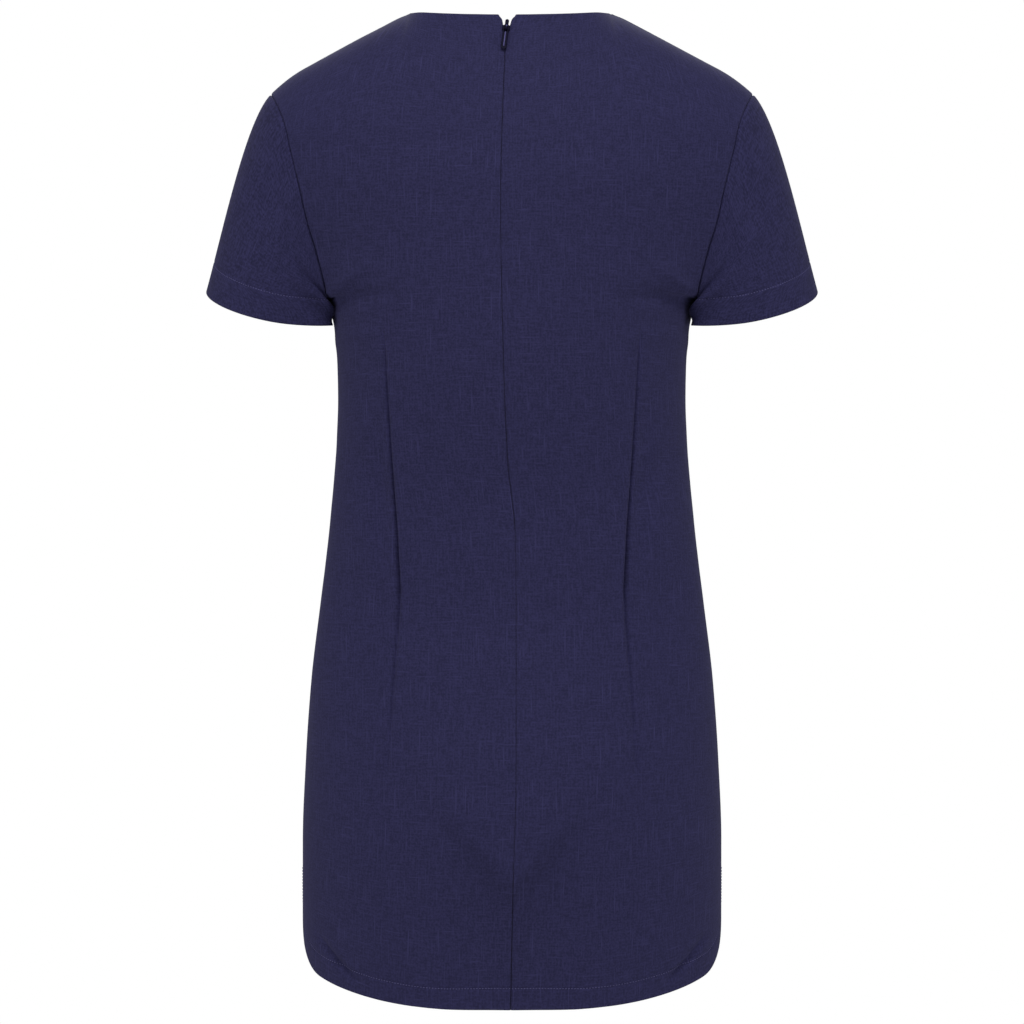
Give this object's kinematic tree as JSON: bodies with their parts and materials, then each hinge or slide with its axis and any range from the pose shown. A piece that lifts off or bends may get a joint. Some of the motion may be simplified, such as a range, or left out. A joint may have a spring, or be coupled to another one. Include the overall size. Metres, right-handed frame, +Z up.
{
  "type": "work tunic",
  "caption": "Short-sleeved navy work tunic, filled out as worn, with a centre back zip, long darts, a curved hem and side vents.",
  "frame": {"origin": "midway between the two points where the shoulder seams meet the neckline, where the wearer's shoulders hold the tunic", "axes": "+Z up along the body, the back faces -Y and the front +Y, +X to the wearer's right"},
  "size_m": [0.4912, 0.2421, 0.7825],
  "materials": {
    "tunic_cloth": "navy plain weave with slubs, matt with a faint sheen",
    "zip_tape": "navy woven tape, matt",
    "zip_teeth": "navy nylon coil",
    "zip_metal": "navy lacquer, glossy"
  },
  "bodies": {
    "tunic": {"front": "tunic_cloth", "back_left": "tunic_cloth", "back_right": "tunic_cloth", "sleeve_left": "tunic_cloth", "sleeve_right": "tunic_cloth", "zip_tape_left": "zip_tape", "zip_tape_right": "zip_tape", "zip_chain": "zip_teeth", "zip_slider": "zip_metal"},
    "pull_tab": {"zip_pull": "zip_metal"}
  },
  "joints": [
    {"name": "pull_hinge", "type": "hinge", "parent": "tunic", "child": "pull_tab", "pos_m": [-0.00464, -0.07071, -0.02215], "axis": [-0.9936, 0.0496, 0.1017], "range_deg": [0, 165]}
  ]
}
